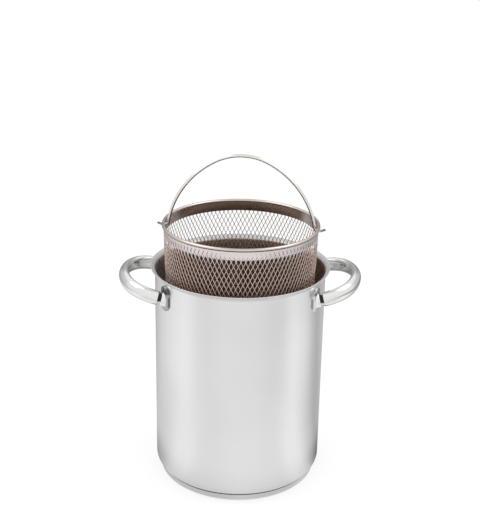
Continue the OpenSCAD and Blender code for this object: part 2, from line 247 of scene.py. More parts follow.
def zone(tree, value, edges):
    """1 between the two middle edges and 0 beyond the outer ones."""
    rise, fall = [add(tree, "ShaderNodeMapRange", {"Value": value, "From Min": a * MM, "From Max": b * MM},
                      interpolation_type="SMOOTHSTEP") for a, b in (edges[:2], edges[2:])]
    rest = add(tree, "ShaderNodeMath", {0: 1.0, 1: fall}, operation="SUBTRACT")
    return add(tree, "ShaderNodeMath", {0: rise, 1: rest}, operation="MULTIPLY")


def with_painted_tones(tree, colour, place, painted_tones):
    """The colour with painted tones on it, most of them painted light and shade. A tone is its own colour and
    its edges in height and in radius.
    """
    height = add(tree, "ShaderNodeSeparateXYZ", {"Vector": place}).outputs["Z"]
    radius = from_axis(tree, place)[1]
    for code, heights, radii in painted_tones:
        share = add(tree, "ShaderNodeMath", {0: zone(tree, height, heights), 1: zone(tree, radius, radii)},
                    operation="MULTIPLY")
        colour = add(tree, "ShaderNodeMix", {"Factor": share, "A": colour, "B": linear(code)},
                     data_type="RGBA")
    return colour


def inward(tree, place, level_too=False):
    """1 on faces that look towards the axis, and on level ones where they count too, and 0 on others."""
    normal = add(tree, "ShaderNodeTexCoord").outputs["Normal"]
    outwards = from_axis(tree, place)[0]
    facing = add(tree, "ShaderNodeVectorMath", {0: normal, 1: outwards}, operation="DOT_PRODUCT")
    limit = LEVEL * MM if level_too else -LEVEL * MM
    return add(tree, "ShaderNodeMath", {0: facing, 1: limit}, operation="LESS_THAN")


def lathe_coordinates(tree, across):
    """Coordinates for lines that run round the pot's axis, across millimetres apart. Height and radius count
    together, so that the lines go on over lips, corners and floors."""
    place = add(tree, "ShaderNodeTexCoord").outputs["Object"]
    split = add(tree, "ShaderNodeSeparateXYZ", {"Vector": place}).outputs
    radius = from_axis(tree, place)[1]
    height = add(tree, "ShaderNodeMath", {0: split["Z"], 1: radius}, operation="ADD")
    line = add(tree, "ShaderNodeMath", {0: height, 1: LINE_L / across}, operation="MULTIPLY")
    return add(tree, "ShaderNodeCombineXYZ", {"X": split["X"], "Y": split["Y"], "Z": line}), place


def brushed_sheet(name, light, dark, rough, anisotropy, across=1.2, painted_tones=(), inside=None,
                  inside_x=(-66, -56, 57, 65), level_too=False):
    """Sheet metal that is brushed, ground or rolled in lines round the pot's axis, across millimetres apart.
    inside is a painted reflection: it tints what faces the axis between the edges inside_x, from left to
    right, and level faces where they count too."""
    made, tree = material(name)
    lines, place = lathe_coordinates(tree, across)
    grain = add(tree, "ShaderNodeTexNoise",
                {"Vector": lines, "Scale": 1 / (LINE_L * MM), "Detail": 5.0, "Roughness": 0.65})
    cloud = add(tree, "ShaderNodeTexNoise", {"Vector": place, "Scale": 1 / (CLOUD_W * MM), "Detail": 2.0})
    tone = add(tree, "ShaderNodeMapRange", {"Value": cloud, "From Min": 0.35, "From Max": 0.65})
    streak = add(tree, "ShaderNodeMapRange", {"Value": grain, "From Min": 0.3, "From Max": 0.7})
    share = add(tree, "ShaderNodeMix", {"Factor": LINE_SHARE, "A": tone, "B": streak})
    colour = add(tree, "ShaderNodeMix", {"Factor": share, "A": linear(dark), "B": linear(light)},
                 data_type="RGBA")
    colour = with_painted_tones(tree, colour, place, painted_tones)
    # The inside's tint is a painted reflection
    if inside:
        place_x = add(tree, "ShaderNodeSeparateXYZ", {"Vector": place}).outputs["X"]
        facing = inward(tree, place, level_too)
        middle = zone(tree, place_x, inside_x)
        side = add(tree, "ShaderNodeMath", {0: facing, 1: middle}, operation="MULTIPLY")
        tint = add(tree, "ShaderNodeMix", {"Factor": side, "A": linear("#FFFFFF"), "B": linear(inside)},
                   data_type="RGBA")
        colour = add(tree, "ShaderNodeMix", {"Factor": 1.0, "A": colour, "B": tint},
                     data_type="RGBA", blend_type="MULTIPLY")
    roughness = add(tree, "ShaderNodeMapRange", {"Value": grain, "From Min": 0.3, "From Max": 0.7,
                                                 "To Min": rough - 0.005, "To Max": rough + 0.01})
    bump = add(tree, "ShaderNodeBump", {"Height": grain, "Strength": 1.0, "Distance": LINE_DEPTH * MM})
    round_axis = add(tree, "ShaderNodeTangent", direction_type="RADIAL", axis="Z")
    shader = add(tree, "ShaderNodeBsdfPrincipled",
                 {"Base Color": colour, "Metallic": 1.0, "Roughness": roughness, "Normal": bump,
                  "Anisotropic": anisotropy, "Anisotropic Rotation": 0.25, "Tangent": round_axis})
    add(tree, "ShaderNodeOutputMaterial", {"Surface": shader})
    return made


def polished_steel(name, light, dark, rough, ripple=0.003, ripple_w=9.0, painted_tones=(), inside=None):
    """Steel with the ripples that a polishing wheel, a stamp or a roll leaves, and with cloudy patches.
    inside is the colour of what faces the axis, a painted reflection. A ripple's height and width are in
    millimetres."""
    made, tree = material(name)
    place = add(tree, "ShaderNodeTexCoord").outputs["Object"]
    wave = add(tree, "ShaderNodeTexNoise", {"Vector": place, "Scale": 1 / (ripple_w * MM), "Detail": 1.0})
    smear = add(tree, "ShaderNodeTexNoise",
                {"Vector": place, "Scale": 1 / (SMEAR_W * MM), "Detail": 4.0, "Roughness": 0.6})
    colour = add(tree, "ShaderNodeMix", {"Factor": smear, "A": linear(dark), "B": linear(light)},
                 data_type="RGBA")
    colour = with_painted_tones(tree, colour, place, painted_tones)
    # What faces the axis gets a painted reflection
    if inside:
        side = inward(tree, place)
        colour = add(tree, "ShaderNodeMix", {"Factor": side, "A": colour, "B": linear(inside)},
                     data_type="RGBA")
    roughness = add(tree, "ShaderNodeMapRange", {"Value": smear, "From Min": 0.3, "From Max": 0.75,
                                                 "To Min": rough, "To Max": rough + 0.04})
    bump = add(tree, "ShaderNodeBump", {"Height": wave, "Strength": 1.0, "Distance": ripple * MM})
    shader = add(tree, "ShaderNodeBsdfPrincipled",
                 {"Base Color": colour, "Metallic": 1.0, "Roughness": roughness, "Normal": bump})
    add(tree, "ShaderNodeOutputMaterial", {"Surface": shader})
    return made


# The pot's outside is stainless sheet, drawn and then brushed round and round to a satin. The eye gets soft
# upright bands of light without an image in them. Brush lines are some 0.1 mm apart, too fine to show, so
# they are drawn 1.2 mm apart and next to flat.
POT_STEEL = brushed_sheet("satin_stainless_steel", "#E6E6E6", "#E2E2E3", 0.26, 0.6)
# The inside is the same sheet, duller, with painted reflection: brown in its depth, where it mirrors little
# but the basket and itself, the lip's grey painted at its top, and neutral at its far left, where it mirrors
# the room.
# Its lines are drawn 0.9 mm apart, coarser than the real ones.
INSIDE_STEEL = brushed_sheet("satin_stainless_inside_painted_reflection", "#CED1CF", "#B8BBBA", 0.36, 0.4, across=0.9,
                             painted_tones=(("#E4E0DE", above(POT_H - 9, POT_H - 4), EVERY),),
                             inside="#DCC4B6", inside_x=above(-76, -62), level_too=True)
# The cap under the pot is pressed stainless sheet with a coarser brushing: a flat, slightly darker grey.
CAP_STEEL = brushed_sheet("satin_stainless_base", "#D8D8D8", "#CECECF", 0.34, 0.3, across=0.9)
# The plate between pot and cap is rolled aluminium, seen only as a soft pale line in the seam.
CORE_ALUMINIUM = brushed_sheet("rolled_aluminium_core", "#E4E6E8", "#D6D8DA", 0.45, 0.0)
# The lip is ground after bending, so it is matt, an even light grey all round. Its lines, 0.6 mm apart here,
# are far finer on a real lip.
LIP_STEEL = brushed_sheet("ground_stainless_lip", "#D8D8D8", "#CECECF", 0.5, 0.0, across=0.6)
# The loops are stainless tube polished on a soft wheel: bright white with thin dark outlines, and a dark line
# of painted shade under each leg by its foot.
HANDLE_STEEL = polished_steel("polished_stainless_steel", "#ECECEA", "#E2E2DF", 0.11,
                              painted_tones=(("#80807A", below(HANDLE_Z - 3.5, HANDLE_Z - 1.7), EVERY),))


def foot_steel_painted_shade(name, pad, top, side_shade):
    """Stamped stainless, polished, with painted shade and reflection: the pad is painted darker than the
    block, and darker still in the hollow over the block and along the block's side. The stamping's slight
    waves bend what it mirrors."""
    block_top, pad_r = HANDLE_Z + TUBE_H / 2, POT_R + PAD_OUT
    beside = (block_top - 14, block_top - 11, block_top - 4, block_top - 2)
    hollow = (block_top - 0.8, block_top + 0.8, block_top + 4.0, block_top + 7.0)
    painted_tones = ((pad, EVERY, below(pad_r - 0.1, pad_r + 0.4)),
              (side_shade, beside, below(pad_r - 1.2, pad_r - 0.6)),
              (top, hollow, below(pad_r + 0.3, pad_r + 1.2)))
    return polished_steel(name, "#F0F0EE", "#E8E8E5", 0.08, ripple=0.02, ripple_w=3.5, painted_tones=painted_tones)


# The left and right feet are lit and shaded copies, each with its own painted shade.
FEET_STEEL_PAINTED_SHADE = {"left": foot_steel_painted_shade("stamped_stainless_foot_left_painted_shade", "#A8A8AA", "#5C5C5E", "#707072"),
              "right": foot_steel_painted_shade("stamped_stainless_foot_right_painted_shade", "#D8D8DA", "#B0B0B2", "#A0A0A2")}
# The neck is polished stainless with painted shade, almost black above and left bright below.
neck_shade_heights = (HANDLE_Z - 0.7, HANDLE_Z + 0.1, HANDLE_Z + 6.5, HANDLE_Z + 7.3)
NECK_STEEL_PAINTED_SHADE = polished_steel("neck_steel_painted_shade", "#D8D8D6", "#C8C8C6", 0.12,
                            painted_tones=(("#2E2E34", neck_shade_heights, EVERY),))
# The mesh is steel sheet, slit, pulled open and rolled: warm grey strands that lean, so that one family of
# them catches the light and the other doesn't. Its top is painted lighter, a painted light where the strip
# lies behind it, and what faces the axis is a painted reflection, paler and more neutral.
mesh_top = BASKET_Z + MESH_TOP_Z
MESH_STEEL = polished_steel("rolled_expanded_steel", "#D8C2B8", "#C4ABA0", 0.34, ripple=0.03, ripple_w=1.6,
                            painted_tones=(("#E2DADA", above(mesh_top - 12, mesh_top - 9), EVERY),),
                            inside="#DACFC9")
# The strips are bright rolled steel: nearly a mirror, pale outside, and inside painted brown, a painted
# reflection of the basket, over all but their far left and right. Their rolling lines are drawn 0.8 mm apart,
# coarser than the real ones.
BAND_STEEL = brushed_sheet("bright_strip_steel", "#EAE0DE", "#DED4D2", 0.14, 0.2, across=0.8,
                           inside="#948175")
# The bail is drawn steel wire, polished: a light middle with dark edges, and tips that turn darker grey
# outside the rim, in two steps.
WIRE_STEEL = polished_steel("bright_drawn_wire", "#F0EAE5", "#E4DCD6", 0.1, ripple=0.004, ripple_w=2.5,
                            painted_tones=(("#8A8C90", EVERY, above(RIM_R + 1.2, RIM_R + 2.2)),
                                    ("#6C6E72", EVERY, above(RIM_R + 4.1, RIM_R + 5.6))))
# The rim is the same wire, rolled into a ring: a warm highlight, and a dark line of painted shade where it
# turns under.
RIM_STEEL = polished_steel("bright_rolled_rim", "#DCD0C9", "#CEC1BA", 0.16, ripple=0.004, ripple_w=2.5,
                           painted_tones=(("#40342F", below(RIM_Z + BASKET_Z - 0.5, RIM_Z + BASKET_Z),
                                    above(RIM_R, RIM_R + 0.4)),))


# Pot

CORNER_STEPS, LIP_STEPS, EDGE_STEPS, WALL_RINGS = 14, 10, 8, 12
# On the inside, the ground lip starts this share of its bend higher up, as far out as this from the wall
# This carries the inside's painted reflection up the inner bend.
LIP_SHARE, LIP_W = 0.65, 2.0

lip_mid = LIP_BEND_R + POT_WALL / 2
lip_z = POT_H - lip_mid * cos(LIP_SLOPE) - LIP_FLAT * sin(LIP_SLOPE) - POT_WALL / 2
lip_x = POT_R + LIP_BEND_R


def cup(r, z0, z1, bend, wall, steps=10):
    """The closed outline of a cup's wall and floor, from the axis under it and back to the axis inside."""
    outside = [(0, z0)] + arc(r - bend, z0 + bend, bend, -90, 0, steps) + [(r, z1)]
    inside = [(r - wall, z1)] + arc(r - bend, z0 + bend, bend - wall, 0, -90, steps) + [(0, z0 + wall)]
    return outside + inside


def pot_outline():
    """The shell's outline: outside up to the lip, round its ground edge and down the inside."""
    along, up = Vector((cos(LIP_SLOPE), sin(LIP_SLOPE))), Vector((-sin(LIP_SLOPE), cos(LIP_SLOPE)))
    edge = Vector((lip_x, lip_z)) + along * LIP_FLAT + up * lip_mid
    corner_x, corner_z = POT_R - CORNER_R, POT_UNDER + CORNER_R
    heights = [lip_z * k / WALL_RINGS for k in range(1, WALL_RINGS)]
    heights = [z for z in heights if z > corner_z + 2]
    outline = [(0, POT_UNDER)] + arc(corner_x, corner_z, CORNER_R, -90, 0, CORNER_STEPS)
    outline += [(POT_R, z) for z in heights]
    outline += arc(lip_x, lip_z, LIP_BEND_R, 180, 90 + LIP_SLOPE, LIP_STEPS)
    outline += arc(edge.x, edge.y, POT_WALL / 2, LIP_SLOPE - 90, LIP_SLOPE + 90, EDGE_STEPS)
    outline += arc(lip_x, lip_z, LIP_BEND_R + POT_WALL, 90 + LIP_SLOPE, 180, LIP_STEPS + 2)
    outline += [(POT_R - POT_WALL, z) for z in reversed(heights)]
    outline += arc(corner_x, corner_z, CORNER_R - POT_WALL, 0, -90, CORNER_STEPS)
    return outline + [(0, POT_UNDER + POT_WALL)]


def shell_finish(face):
    """Which of the shell's finishes a face has: 0 outside, 1 inside and 2 on the ground lip."""
    out = Vector((face.center.x, face.center.y, 0)) / MM
    height = face.center.z / MM
    faces_axis = face.normal.dot(out) < 0
    wall_middle = POT_R - POT_WALL / 2
    lip_from = lip_z
    if faces_axis and out.length < wall_middle + LIP_W:
        lip_from += LIP_BEND_R * LIP_SHARE
    if height > lip_from:
        return 2
    looks_in = faces_axis or face.normal.z > 0.1
    return 1 if looks_in and out.length < wall_middle and height > POT_UNDER + POT_WALL / 2 else 0


pot_shell = piece("pot_shell", "pot", POT_STEEL, turned(pot_outline(), closed=False),
                  ("pot_body",), crease=50)
pot_shell.data.materials.append(INSIDE_STEEL)
pot_shell.data.materials.append(LIP_STEEL)
for face in pot_shell.data.polygons:
    face.material_index = shell_finish(face)

# The cap's edge ends a gap under the shell's rounded corner
cap_inner = CAP_R - CAP_WALL
seat = CORNER_R - math.sqrt(CORNER_R ** 2 - (cap_inner - POT_R + CORNER_R) ** 2)
cap_top = POT_UNDER + seat - SEAM_GAP
piece("base_shell", "pot", CAP_STEEL,
      turned(cup(CAP_R, 0, cap_top, CAP_EDGE_R, CAP_WALL), closed=False), ("base_cap",), crease=50)


# Handles

BEND_STEPS, NOSE_STEPS = 14, 24
# Distance from a tube's cut end and inset of its section there
TUBE_END = ((0, 0.45), (0.12, 0.18), (0.4, 0))
# Distance from the wall and inset of the pad's outline, up over its domed edge
PAD_DOME = ((-PAD_SUNK, 0), (0.9, 0), (1.5, 0.25), (1.9, 0.75), (2.1, 1.5), (PAD_OUT, 2.6))

wall_x = math.sqrt(POT_R ** 2 - LEG_Y ** 2)
leg_azimuth = math.degrees(math.atan2(LEG_Y, wall_x))
nose_r = HANDLE_BEND_R + (LEG_Y - HANDLE_BEND_R) / sin(NOSE_ANGLE)
nose_x = HANDLE_REACH - nose_r
corner_x = nose_x + (nose_r - HANDLE_BEND_R) * cos(NOSE_ANGLE)
tube_x = BOSS_L + NECK_L
handle_place = Matrix.Translation((wall_x, 0, HANDLE_Z)) @ Matrix.Rotation(math.radians(-HANDLE_TILT), 4, "Y")


def handle_path():
    """The loop in its own plane, with its cut ends a little rounded."""
    arc_y = LEG_Y - HANDLE_BEND_R
    path = [(tube_x + x, -LEG_Y, -90, by) for x, by in TUBE_END]
    path += stations(corner_x, -arc_y, HANDLE_BEND_R, -90, -NOSE_ANGLE, BEND_STEPS)
    path += stations(nose_x, 0, nose_r, -NOSE_ANGLE, NOSE_ANGLE, NOSE_STEPS)[1:]
    path += stations(corner_x, arc_y, HANDLE_BEND_R, NOSE_ANGLE, 90, BEND_STEPS)[1:]
    return path + [(tube_x + x, LEG_Y, 90, by) for x, by in reversed(TUBE_END)]


loop_points, loop_faces = swept(handle_path(), oval(TUBE_W, TUBE_H))
loop_points = moved(handle_place, loop_points)
for side, sx in (("left", -1), ("right", 1)):
    piece("handle_loop_" + side, "pot", HANDLE_STEEL,
          (mirrored(loop_points, sx, 1), loop_faces), ("handle_" + side,))


def pad():
    """The oval pad, bent to the wall, with a domed edge."""
    outline = rounded(PAD_W, PAD_H, PAD_W / 2 - 0.01)
    rings = []
    for out, by in PAD_DOME:
        ring = []
        for s, z in inset(outline, by):
            a = leg_azimuth + math.degrees(s / POT_R)
            ring.append(((POT_R + out) * cos(a), (POT_R + out) * sin(a), HANDLE_Z + PAD_LIFT + z))
        rings.append(ring)
    return stack(rings)


def along_leg(w, h, rings):
    """A solid through ovals along a leg. A ring is its distance from the wall and its inset."""
    return stack([moved(handle_place, [(x, LEG_Y - s, t) for s, t in inset(oval(w, h, 64), by)])
                  for x, by in rings])


def boss():
    """The polished block on the pad, domed where it ends."""
    w, h = TUBE_W + 2 * BOSS_STEP, TUBE_H + 2 * BOSS_STEP
    return along_leg(w, h, ((-BOSS_SUNK, 0), (BOSS_L - 1.2, 0), (BOSS_L - 0.5, 0.25), (BOSS_L, 1.0)))


def neck():
    """The narrower stretch between the block and the tube's end, a little waisted."""
    w, h = TUBE_W - 2 * (TUBE_WALL - NECK_SEAT), TUBE_H - 2 * (TUBE_WALL - NECK_SEAT)
    return along_leg(w, h, ((BOSS_L - 0.6, 0), (BOSS_L + 0.4, 0.1), (BOSS_L + NECK_L / 2, 0.5),
                            (tube_x - 0.4, 0.1), (tube_x - 0.02, 0)))


def blank(shapes):
    """An object to work on, in millimetres, made of closed shapes."""
    bm = bmesh.new()
    for points, faces in shapes:
        made = [bm.verts.new(p) for p in points]
        for f in faces:
            bm.faces.new([made[i] for i in f])
    bmesh.ops.recalc_face_normals(bm, faces=bm.faces)
    mesh = bpy.data.meshes.new("blank")
    bm.to_mesh(mesh)
    bm.free()
    made = bpy.data.objects.new("blank", mesh)
    bpy.context.scene.collection.objects.link(made)
    return made


def finished(work):
    """The shape of a worked object, with its modifiers applied. The object goes."""
    done = work.evaluated_get(bpy.context.evaluated_depsgraph_get()).to_mesh()
    points = [tuple(v.co) for v in done.vertices]
    faces = [list(p.vertices) for p in done.polygons]
    bpy.data.objects.remove(work)
    return points, faces


def fused(shapes, voxel, smoothing):
    """One skin over several closed shapes, with soft fillets where they meet."""
    work = blank(shapes)
    remesh = work.modifiers.new("skin", "REMESH")
    remesh.mode, remesh.voxel_size = "VOXEL", voxel
    smooth = work.modifiers.new("fillets", "SMOOTH")
    smooth.factor, smooth.iterations = 0.5, smoothing
    return finished(work)


def bored(shape, drill):
    """A closed shape less another one."""
    work, bit = blank([shape]), blank([drill])
    hole = work.modifiers.new("hole", "BOOLEAN")
    hole.operation, hole.solver, hole.object = "DIFFERENCE", "EXACT", bit
    made = finished(work)
    bpy.data.objects.remove(bit)
    return made


def kept_outside(points, r):
    """The points, with those nearer to the axis moved out to a radius."""
    return [(x * k, y * k, z) for x, y, z in points for k in (max(1.0, r / math.hypot(x, y)),)]


foot_points, foot_faces = fused([pad(), boss()], voxel=0.3, smoothing=3)
foot_points = kept_outside(foot_points, POT_R - PAD_SUNK)
neck_points, neck_faces = neck()
for side, sx in (("left", -1), ("right", 1)):
    for end, sy in (("front", -1), ("back", 1)):
        piece(f"handle_foot_{side}_{end}", "pot", FEET_STEEL_PAINTED_SHADE[side],
              (mirrored(foot_points, sx, sy), foot_faces), (f"foot_{side}_{end}",), crease=60)
        piece(f"handle_neck_{side}_{end}", "pot", NECK_STEEL_PAINTED_SHADE,
              (mirrored(neck_points, sx, sy), neck_faces), crease=60)


# Basket

# The bail's hinge, which lies along hinge_place's x axis
pivot_z = RIM_Z - RIM_WIRE_R - PIVOT_GAP - BAIL_WIRE_R
hinge_place = (Matrix.Translation((0, 0, BASKET_Z + pivot_z))
               @ Matrix.Rotation(math.radians(BAIL_TURN), 4, "Z"))


def wall_r(z):
    """Outside radius of the basket's wall at a height over its foot."""
    return RIM_R - WALL_TAPER * (MESH_TOP_Z - z) / (MESH_TOP_Z - MESH_BOTTOM_Z)


def raised(points):
    """The points of a basket piece, lifted from its foot to where it hangs."""
    return [(x, y, z + BASKET_Z) for x, y, z in points]


def mesh_wall():
    """The wall as a lattice of diamonds, each row staggered by half a diamond. A strand has six sides: every
    diamond has four corners on four layers, and on the outer and inner layer it is a chamfer larger."""
    columns, rows, last = MESH_COLUMNS, MESH_ROWS, MESH_ROWS - 1
    step_z = (MESH_TOP_Z - MESH_BOTTOM_Z - 2 * MESH_EDGE) / (rows + 1)
    step_a = 180 / columns
    lean = math.atan2(math.pi * RIM_R / columns, step_z)
    layers = ((0, STRAND_CHAMFER), (CHAMFER_DEPTH, 0),
              (STRAND_T - CHAMFER_DEPTH, 0), (STRAND_T, STRAND_CHAMFER))
    points, index = [], {}

    def at(key, a, z, depth):
        """The number of a point, which is made the first time that it is asked for."""
        if key not in index:
            index[key] = len(points)
            r = wall_r(z) - depth
            points.append((r * cos(a + MESH_TURN), r * sin(a + MESH_TURN), z))
        return index[key]

    def corner(layer, k, c, j):
        """A corner of the diamond in row k and column c: 0 left, 1 low, 2 right, 3 high."""
        depth, chamfer = layers[layer]
        half_w = STRAND_W / 2 - chamfer
        z = MESH_BOTTOM_Z + MESH_EDGE + (k + 1) * step_z
        aside = math.degrees(half_w / math.cos(lean) / wall_r(z))
        up = half_w / math.sin(lean)
        dx, dz = ((-1, 0), (0, -1), (1, 0), (0, 1))[j]
        c %= columns
        a = (2 * c + k % 2) * step_a + dx * (step_a - aside)
        return at((layer, k, c, j), a, z + dz * (step_z - up), depth - dz * STRAND_TWIST)

    def side(layer, k, c, j):
        """The two corners of a diamond's side."""
        return [corner(layer, k, c, j), corner(layer, k, c, (j + 1) % 4)]

    def edge(layer, top, i):
        """A point on the wall's top or bottom."""
        i %= 2 * columns
        return at((layer, top, i), i * step_a, MESH_TOP_Z if top else MESH_BOTTOM_Z, layers[layer][0])

    faces = []
    for layer in (0, 3):
        for c in range(columns):
            for k in range(rows):
                n = c + k % 2
                crossing = [corner(layer, k, c, 2)]
                crossing += [corner(layer, k + 1, n, 1)] if k < last else []
                crossing += [corner(layer, k, c + 1, 0)]
                crossing += [corner(layer, k - 1, n, 3)] if k else []
                faces.append(crossing)
                if k < last:
                    faces.append(side(layer, k + 1, n, 1) + side(layer, k, c + 1, 3))
                    faces.append(side(layer, k, c, 2) + side(layer, k + 1, n, 0))
            low = edge(layer, False, 2 * c + 1)
            ring = [edge(layer, False, 2 * c)] + side(layer, 0, c, 1)
            ring += side(layer, 0, c + 1, 0) + [edge(layer, False, 2 * c + 2)]
            faces += [[a, b, low] for a, b in zip(ring, ring[1:])]
            u = 2 * c + last % 2
            high = edge(layer, True, u + 1)
            ring = [edge(layer, True, u + 2)] + side(layer, last, c + 1, 3)
            ring += side(layer, last, c, 2) + [edge(layer, True, u)]
            faces += [[a, b, high] for a, b in zip(ring, ring[1:])]
    for layer in range(3):
        for k in range(rows):
            for c in range(columns):
                for j in range(4):
                    deeper = [corner(layer + 1, k, c, (j + 1) % 4), corner(layer + 1, k, c, j)]
                    faces.append(side(layer, k, c, j) + deeper)
        for top in (False, True):
            for i in range(2 * columns):
                faces.append([edge(layer, top, i), edge(layer, top, i + 1),
                              edge(layer + 1, top, i + 1), edge(layer + 1, top, i)])
    return raised(points), faces


def mesh_floor():
    """The flat disc of the same mesh, solid where it lies on the foot's flange."""
    sheet_r = wall_r(MESH_BOTTOM_Z) - MESH_T - STRIP_GAP
    open_r = sheet_r - FLANGE_W
    lean = math.degrees(math.atan2(FLOOR_PITCH_X, FLOOR_PITCH_Y))
    half_x = FLOOR_PITCH_X / 2 - STRAND_W / 2 / cos(lean)
    half_y = FLOOR_PITCH_Y / 2 - STRAND_W / 2 / sin(lean)
    flat = [Vector(p) for p in arc(0, 0, sheet_r, 0, 360, 180)[:-1]]
    loops = [list(range(len(flat)))]
    holes = set()

    def centre(i, j):
        return (i + (j % 2) / 2) * FLOOR_PITCH_X, j * FLOOR_PITCH_Y / 2

    nx, ny = math.ceil(open_r / FLOOR_PITCH_X), math.ceil(2 * open_r / FLOOR_PITCH_Y)
    for j in range(-ny, ny + 1):
        for i in range(-nx - 1, nx + 1):
            x, y = centre(i, j)
            if math.hypot(abs(x) + half_x, y) < open_r and math.hypot(x, abs(y) + half_y) < open_r:
                corners = ((x - half_x, y), (x, y - half_y), (x + half_x, y), (x, y + half_y))
                loops.append(list(range(len(flat), len(flat) + 4)))
                flat += [Vector(p) for p in corners]
                holes.add((i, j))

    def in_hole(x, y):
        row = round(2 * y / FLOOR_PITCH_Y)
        for j in (row - 1, row, row + 1):
            i = round(x / FLOOR_PITCH_X - (j % 2) / 2)
            hole_x, hole_y = centre(i, j)
            if (i, j) in holes and abs(x - hole_x) / half_x + abs(y - hole_y) / half_y < 1:
                return True
        return False

    edges = [(loop[i], loop[(i + 1) % len(loop)]) for loop in loops for i in range(len(loop))]
    spots, _, cells = geometry.delaunay_2d_cdt(flat, edges, [], 1, 1e-5)[:3]
    sheet = []
    for f in cells:
        middle = sum((spots[i] for i in f), Vector((0, 0))) / len(f)
        if not in_hole(middle.x, middle.y):
            sheet.append(list(f))
    n = len(spots)
    points = [(p.x, p.y, z) for z in (FOOT_T + MESH_T, FOOT_T) for p in spots]
    faces = sheet + [[i + n for i in reversed(f)] for f in sheet]
    used = dict.fromkeys((a, b) for f in sheet for a, b in zip(f, f[1:] + f[:1]))
    faces += [[b, a, a + n, b + n] for a, b in used if (b, a) not in used]
    return raised(points), faces


def pivot_drill():
    """A rod along the bail's hinge line, as wide as the holes that the wire turns in."""
    hole, reach = 2 * (BAIL_WIRE_R + PIVOT_GAP), RIM_R + 5
    return stack([moved(hinge_place, [(x, s, t) for s, t in oval(hole, hole, 32)]) for x in (-reach, reach)])


def foot_outline():
    """The strip round the foot: an upright band outside the wall and a flange under the floor."""
    low, high = wall_r(0) + STRIP_GAP, wall_r(FOOT_H) + STRIP_GAP
    flange = wall_r(MESH_BOTTOM_Z) - MESH_T - STRIP_GAP - FLANGE_W
    bend, edge = 0.9, 0.1
    outline = [(flange, 0), (low + FOOT_T - bend, 0), (low + FOOT_T - 0.3, 0.25), (low + FOOT_T, bend),
               (high + FOOT_T, FOOT_H - edge), (high + FOOT_T - edge, FOOT_H), (high, FOOT_H), (low, FOOT_T),
               (flange, FOOT_T)]
    return [(r, z + BASKET_Z) for r, z in outline]


def rim_outline():
    """The rim's round wire."""
    return [(r, z + BASKET_Z) for r, z in arc(RIM_R, RIM_Z, RIM_WIRE_R, 0, 360, 24)[:-1]]


piece("basket_mesh_wall", "basket", MESH_STEEL, bored(mesh_wall(), pivot_drill()),
      ("basket_wall",), crease=5)
piece("basket_mesh_floor", "basket", MESH_STEEL, mesh_floor(), ("basket_floor",))
piece("basket_rim_wire", "basket", RIM_STEEL, turned(rim_outline()), ("basket_rim",))
piece("basket_foot_strip", "basket", BAND_STEEL, turned(foot_outline()), ("basket_foot",))


# Bail. From its top down, each side is an arc over the middle, a wider arc, a bend out and a tip.

TIP_STEPS, LEG_STEPS, SIDE_STEPS, TOP_STEPS, WIRE_STEPS = 4, 12, 36, 24, 24
# Distance back from a tip's end and inset of the wire there
TIP_END = ((0, 1.1), (0.2, 0.8), (0.6, 0.55), (1.2, 0))

leg_x = wall_r(pivot_z - BAIL_WIRE_R) - MESH_T - STRIP_GAP - BAND_T - LEG_GAP - BAIL_WIRE_R
top_k = 1 / cos(BAIL_SIDE_ANGLE) - math.tan(math.radians(BAIL_SIDE_ANGLE))
arch_a = leg_x - (BAIL_LOW + leg_x) / top_k
arch_b = 1 / top_k ** 2 - 1
arch_root = math.sqrt((arch_a / top_k) ** 2 - arch_b * (arch_a ** 2 + BAIL_LOW ** 2))
side_r = (-arch_a / top_k + arch_root) / arch_b
side_x = math.sqrt(side_r ** 2 - BAIL_LOW ** 2) - leg_x
top_r = side_r - side_x / cos(BAIL_SIDE_ANGLE)
top_z = side_x * math.tan(math.radians(BAIL_SIDE_ANGLE)) - BAIL_LOW
leg_angle = math.degrees(math.asin((BAIL_LOW + BAIL_BEND_R) / (side_r + BAIL_BEND_R)))
leg_bend_x = (side_r + BAIL_BEND_R) * cos(leg_angle) - side_x
tip_bend_x = RIM_R + RIM_WIRE_R + PIVOT_GAP
tip_start = (tip_bend_x + BAIL_BEND_R * sin(TIP_BEND), BAIL_BEND_R * (1 - cos(TIP_BEND)))
tip_x = POT_R - POT_WALL - TIP_GAP - BAIL_WIRE_R * sin(TIP_BEND)


def slimmer(x):
    """How much the wire is drawn in at a distance from the middle: nothing inside the rim, all at the tip."""
    return TIP_SLIMMER * min(1.0, max(0.0, (x - RIM_R) / TIP_STRETCH))


def bail_path():
    """The wire from the tip on the +X side over to the other, with rounded ends."""
    leg = []
    for back, by in TIP_END:
        x = tip_x - back * cos(TIP_BEND)
        y = tip_start[1] + (x - tip_start[0]) * math.tan(math.radians(TIP_BEND))
        leg.append((x, y, 90 + TIP_BEND, by))
    leg += stations(tip_bend_x, BAIL_BEND_R, BAIL_BEND_R, 270 + TIP_BEND, 270, TIP_STEPS, 180)
    leg += stations(leg_bend_x, BAIL_BEND_R, BAIL_BEND_R, 270, 180 + leg_angle, LEG_STEPS, 180)
    leg += stations(-side_x, -BAIL_LOW, side_r, leg_angle, BAIL_SIDE_ANGLE, SIDE_STEPS)[1:]
    leg = [(x, y, a, max(by, slimmer(x))) for x, y, a, by in leg]
    top = stations(0, top_z, top_r, BAIL_SIDE_ANGLE, 180 - BAIL_SIDE_ANGLE, TOP_STEPS)[1:]
    return leg + top + [(-x, y, 180 - a, by) for x, y, a, by in reversed(leg[:-1])]


wire_points, wire_faces = swept(bail_path(), arc(0, 0, BAIL_WIRE_R, 0, 360, WIRE_STEPS)[:-1])
wire_points = moved(hinge_place @ Matrix.Rotation(math.radians(90), 4, "X"), wire_points)
piece("bail_wire", "bail", WIRE_STEEL, (wire_points, wire_faces), ("bail",), crease=50)


